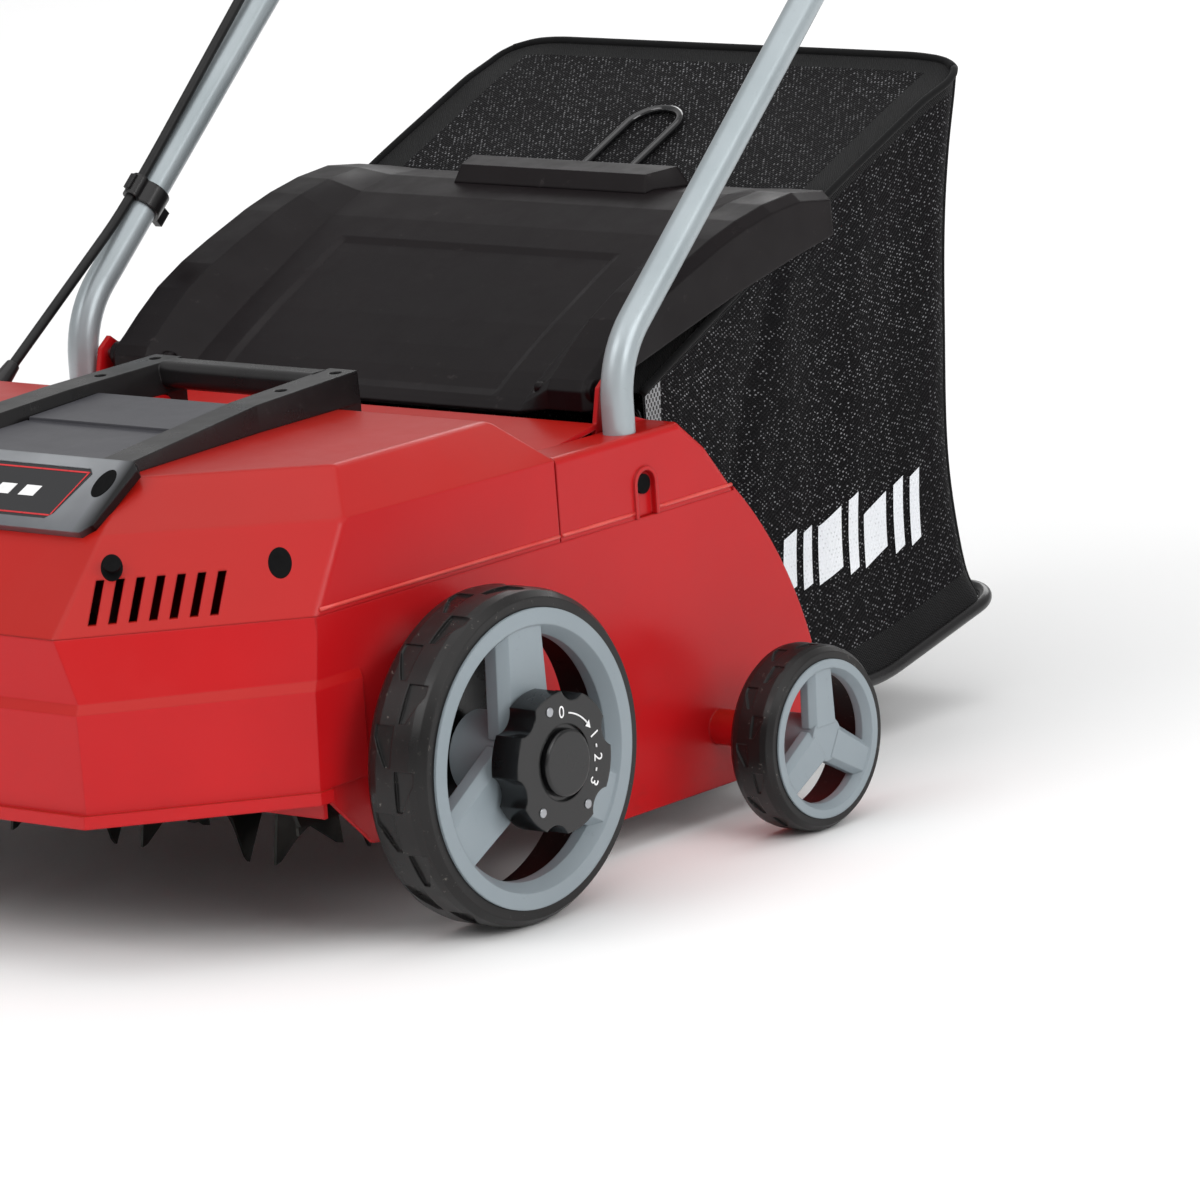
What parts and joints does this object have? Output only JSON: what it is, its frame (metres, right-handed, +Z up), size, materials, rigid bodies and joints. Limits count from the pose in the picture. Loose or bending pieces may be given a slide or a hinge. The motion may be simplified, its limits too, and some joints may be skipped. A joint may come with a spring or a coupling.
{
  "type": "lawn dethatcher",
  "caption": "Walk-behind electric dethatcher: red deck and hood over a bladed belt-driven rotor, depth-set wheels, rear flap, mesh catcher bag and folding handle bow.",
  "frame": {"origin": "on the ground, under the middle of the whole machine", "axes": "+Z up, the working front faces -Y, +X is the left side seen by the user walking behind it"},
  "size_m": [0.598, 1.1502, 0.9862],
  "materials": {
    "red_plastic": "moulded red ABS, satin gloss",
    "black_plastic": "black moulded plastic, fine texture",
    "flap_plastic": "dark brown-black satin plastic",
    "knob_plastic": "gloss black plastic",
    "grey_plastic": "dark grey plastic",
    "bezel_metal": "gunmetal lacquer",
    "badge": "gloss black plate",
    "tube_paint": "silver-grey powder coat",
    "steel": "bright zinc",
    "black_wire": "gloss black coated wire",
    "blade_steel": "black oxide spring steel",
    "cast": "die-cast aluminium",
    "laminations": "stacked electrical steel",
    "tyre": "soft black tyre",
    "rim_plastic": "mid grey moulded rim",
    "cable": "black rubber sheath",
    "belt": "toothless drive belt",
    "foam": "closed-cell foam grip",
    "bag_cloth": "open black polyester mesh",
    "safety_red": "red push button"
  },
  "bodies": {
    "chassis": {"deck_shell": "red_plastic", "motor_hood": "red_plastic", "side_cover_left": "red_plastic", "side_cover_right": "red_plastic", "belly_pan": "black_plastic", "carry_handle": "black_plastic", "handle_inlay": "grey_plastic", "bezel": "bezel_metal", "badge_plate": "badge", "housing_screws": "blade_steel", "lower_tube_left": "tube_paint", "lower_tube_right": "tube_paint", "cable_gland": "black_plastic", "motor_cable": "cable", "cable_clip_lower": "black_plastic", "fold_bolts": "steel", "rear_axle": "steel", "flap_hinge_pin": "steel", "bearing_plates": "blade_steel", "ball_bearings": "steel", "motor_can": "cast", "motor_stator": "laminations", "drive_belt": "belt"},
    "crank_left": {"crank_left": "black_plastic"},
    "crank_right": {"crank_right": "black_plastic"},
    "front_wheel_left": {"front_tyre_left": "tyre", "front_rim_left": "rim_plastic"},
    "front_wheel_right": {"front_tyre_right": "tyre", "front_rim_right": "rim_plastic"},
    "depth_knob_left": {"depth_knob_left": "knob_plastic"},
    "depth_knob_right": {"depth_knob_right": "knob_plastic"},
    "rear_wheel_left": {"rear_tyre_left": "tyre", "rear_rim_left": "rim_plastic"},
    "rear_wheel_right": {"rear_tyre_right": "tyre", "rear_rim_right": "rim_plastic"},
    "rotor": {"rotor_shaft": "steel", "rotor_sleeve": "steel", "rotor_blades": "blade_steel", "rotor_pulley": "cast"},
    "armature": {"armature": "laminations", "motor_fan": "black_plastic", "motor_pulley": "cast"},
    "flap": {"flap": "flap_plastic", "flap_grip": "flap_plastic"},
    "bag": {"bag_fabric": "bag_cloth", "bag_frame": "black_wire", "bag_handle": "black_wire", "bag_rim": "black_plastic"},
    "upper_handle": {"upper_tube": "tube_paint", "switch_box_upper": "black_plastic", "switch_box_lower": "black_plastic", "grip_sleeve": "foam", "handle_cable": "cable", "cable_clip_upper": "black_plastic", "inlet_pins": "steel", "lever_bracket": "black_plastic"},
    "switch_lever": {"switch_lever": "black_wire"},
    "safety_button": {"safety_button": "safety_red"},
    "fold_knob_left": {"fold_knob_left": "black_plastic"},
    "fold_knob_right": {"fold_knob_right": "black_plastic"}
  },
  "joints": [
    {"name": "depth_crank_left", "type": "hinge", "parent": "chassis", "child": "crank_left", "pos_m": [0.212, -0.3791, 0.1], "axis": [1, 0, 0], "range_deg": [0, 150]},
    {"name": "front_wheel_left_spin", "type": "hinge", "parent": "crank_left", "child": "front_wheel_left", "pos_m": [0.255, -0.3791, 0.09], "axis": [1, 0, 0], "continuous": true},
    {"name": "depth_knob_left_pull", "type": "slide", "parent": "crank_left", "child": "depth_knob_left", "axis": [1, 0, 0], "range_m": [0, 0.006], "stiffness_N_per_m": 400, "springref_m": -0.003},
    {"name": "rear_wheel_left_spin", "type": "hinge", "parent": "chassis", "child": "rear_wheel_left", "pos_m": [0.272, -0.1475, 0.0513], "axis": [1, 0, 0], "continuous": true},
    {"name": "fold_knob_left_turn", "type": "hinge", "parent": "chassis", "child": "fold_knob_left", "pos_m": [0.218, 0.12365, 0.56041], "axis": [1, 0, 0], "continuous": true},
    {"name": "depth_crank_right", "type": "hinge", "parent": "chassis", "child": "crank_right", "pos_m": [-0.212, -0.3791, 0.1], "axis": [1, 0, 0], "range_deg": [0, 150]},
    {"name": "front_wheel_right_spin", "type": "hinge", "parent": "crank_right", "child": "front_wheel_right", "pos_m": [-0.255, -0.3791, 0.09], "axis": [1, 0, 0], "continuous": true},
    {"name": "depth_knob_right_pull", "type": "slide", "parent": "crank_right", "child": "depth_knob_right", "axis": [-1, 0, 0], "range_m": [0, 0.006], "stiffness_N_per_m": 400, "springref_m": -0.003},
    {"name": "rear_wheel_right_spin", "type": "hinge", "parent": "chassis", "child": "rear_wheel_right", "pos_m": [-0.272, -0.1475, 0.0513], "axis": [1, 0, 0], "continuous": true},
    {"name": "fold_knob_right_turn", "type": "hinge", "parent": "chassis", "child": "fold_knob_right", "pos_m": [-0.218, 0.12365, 0.56041], "axis": [1, 0, 0], "continuous": true},
    {"name": "rotor_spin", "type": "hinge", "parent": "chassis", "child": "rotor", "pos_m": [0, -0.3731, 0.104], "axis": [1, 0, 0], "continuous": true},
    {"name": "armature_spin", "type": "hinge", "parent": "chassis", "child": "armature", "pos_m": [0, -0.4971, 0.172], "axis": [1, 0, 0], "continuous": true},
    {"name": "flap_lift", "type": "hinge", "parent": "chassis", "child": "flap", "pos_m": [0, -0.1931, 0.246], "axis": [1, 0, 0], "range_deg": [0, 75]},
    {"name": "bag_pull_out", "type": "slide", "parent": "chassis", "child": "bag", "axis": [0, 1, 0], "range_m": [0, 0.3]},
    {"name": "handle_fold", "type": "hinge", "parent": "chassis", "child": "upper_handle", "pos_m": [0, 0.12365, 0.56041], "axis": [1, 0, 0], "range_deg": [0, 135], "deforming": ["handle_cable"]},
    {"name": "switch_lever_pull", "type": "hinge", "parent": "upper_handle", "child": "switch_lever", "pos_m": [0, 0.45821, 0.89125], "axis": [-1, 0, 0], "range_deg": [0, 12], "stiffness_Nm_per_rad": 3, "springref_deg": -8.59},
    {"name": "safety_button_press", "type": "slide", "parent": "upper_handle", "child": "safety_button", "axis": [0, 0.6691, -0.7431], "range_m": [0, 0.0035], "stiffness_N_per_m": 300, "springref_m": -0.002}
  ],
  "couplings": [
    {"joint": "armature_spin", "follows": "rotor_spin", "ratio": 3}
  ]
}
